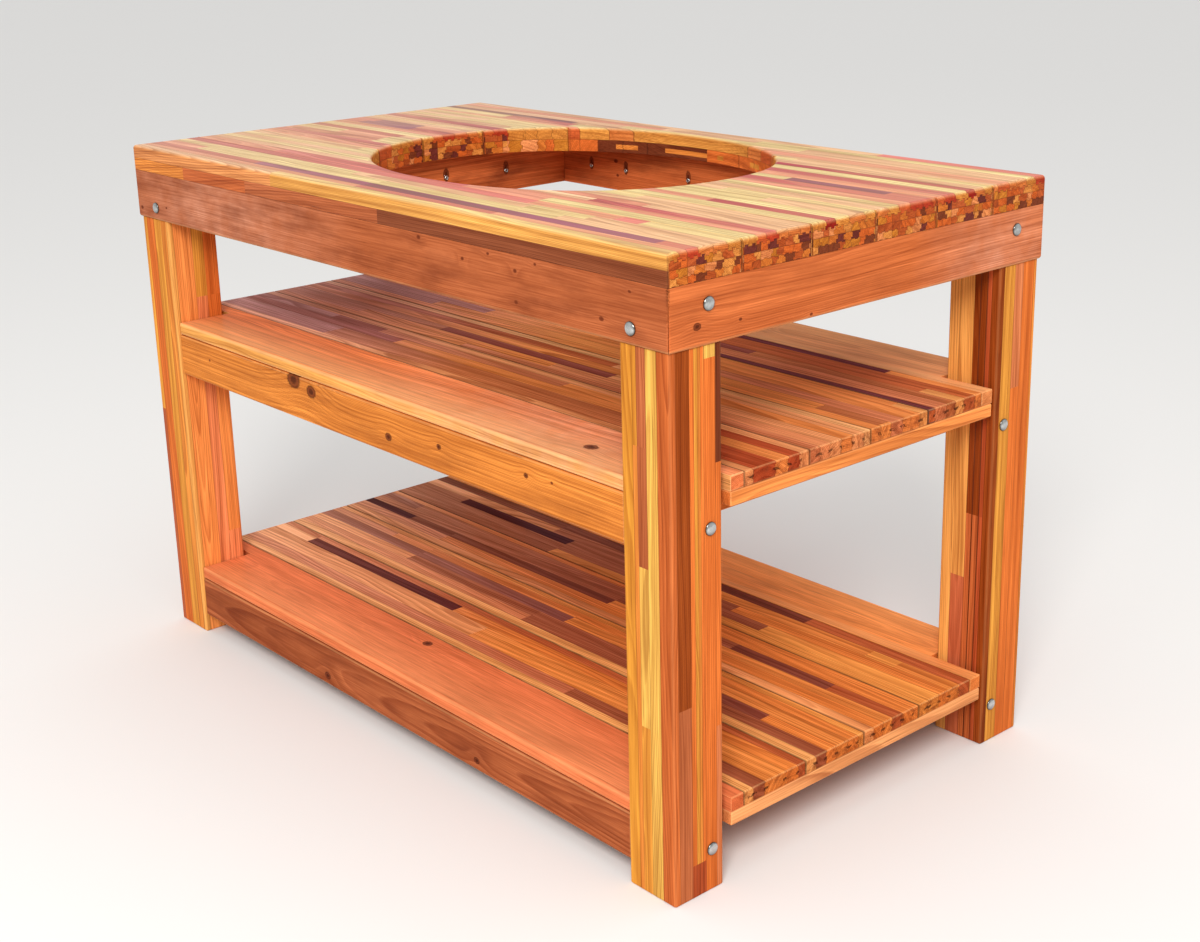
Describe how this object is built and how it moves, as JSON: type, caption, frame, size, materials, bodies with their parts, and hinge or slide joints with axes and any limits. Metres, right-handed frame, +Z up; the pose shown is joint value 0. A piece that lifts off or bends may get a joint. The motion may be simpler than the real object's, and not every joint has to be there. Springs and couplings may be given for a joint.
{
  "type": "kamado grill table",
  "caption": "Outdoor grill table in oiled redwood: thick glued-up top with an oval grill cut-out, bolted apron and square legs, and full shelves below.",
  "frame": {"origin": "on the floor, under the middle of the table", "axes": "+X along the table's length to its right end, +Y from the front to the back, +Z up. The front is the side with the wider strip of top beside the cut-out."},
  "size_m": [1.3554, 0.7654, 0.886],
  "materials": {
    "top_mosaic": "glued-up redwood staves of mixed tone, oiled, semi-gloss",
    "apron_redwood": "solid redwood board, oiled, semi-gloss",
    "leg_mosaic": "glued-up redwood staves, oiled, semi-gloss",
    "shelf_mosaic": "glued-up redwood staves of mixed tone, oiled, semi-gloss",
    "shelf_plank": "solid redwood plank, oiled, semi-gloss",
    "rail_redwood": "solid redwood with knots, oiled, semi-gloss",
    "bolt_steel": "bright plated steel"
  },
  "bodies": {
    "root": {"top_board_1_front": "top_mosaic", "top_board_2": "top_mosaic", "top_board_3_left": "top_mosaic", "top_board_3_right": "top_mosaic", "top_board_4_left": "top_mosaic", "top_board_4_right": "top_mosaic", "top_board_5_left": "top_mosaic", "top_board_5_right": "top_mosaic", "top_board_6_back": "top_mosaic", "apron_front": "apron_redwood", "apron_back": "apron_redwood", "apron_right": "apron_redwood", "apron_left": "apron_redwood", "bearer_left": "apron_redwood", "bearer_right": "apron_redwood", "leg_front_left": "leg_mosaic", "leg_front_right": "leg_mosaic", "leg_back_left": "leg_mosaic", "leg_back_right": "leg_mosaic", "mid_shelf_board_1": "shelf_plank", "mid_shelf_board_2": "shelf_mosaic", "mid_shelf_board_3": "shelf_mosaic", "mid_shelf_board_4": "shelf_mosaic", "mid_shelf_board_5": "shelf_mosaic", "mid_shelf_board_6": "shelf_plank", "mid_rail_front": "rail_redwood", "mid_rail_back": "rail_redwood", "mid_end_rail_left": "rail_redwood", "mid_end_batten_left": "rail_redwood", "mid_end_rail_right": "rail_redwood", "mid_end_batten_right": "rail_redwood", "low_shelf_board_1": "shelf_plank", "low_shelf_board_2": "shelf_mosaic", "low_shelf_board_3": "shelf_mosaic", "low_shelf_board_4": "shelf_mosaic", "low_shelf_board_5": "shelf_mosaic", "low_shelf_board_6": "shelf_plank", "low_rail_front": "rail_redwood", "low_rail_back": "rail_redwood", "low_end_rail_left": "rail_redwood", "low_end_batten_left": "rail_redwood", "low_end_rail_right": "rail_redwood", "low_end_batten_right": "rail_redwood", "bolt_apron_end_front_left": "bolt_steel", "bolt_apron_side_front_left": "bolt_steel", "bolt_leg_mid_front_left": "bolt_steel", "bolt_leg_low_front_left": "bolt_steel", "bolt_apron_end_front_right": "bolt_steel", "bolt_apron_side_front_right": "bolt_steel", "bolt_leg_mid_front_right": "bolt_steel", "bolt_leg_low_front_right": "bolt_steel", "bolt_apron_end_back_left": "bolt_steel", "bolt_apron_side_back_left": "bolt_steel", "bolt_leg_mid_back_left": "bolt_steel", "bolt_leg_low_back_left": "bolt_steel", "bolt_apron_end_back_right": "bolt_steel", "bolt_apron_side_back_right": "bolt_steel", "bolt_leg_mid_back_right": "bolt_steel", "bolt_leg_low_back_right": "bolt_steel"}
  },
  "joints": []
}
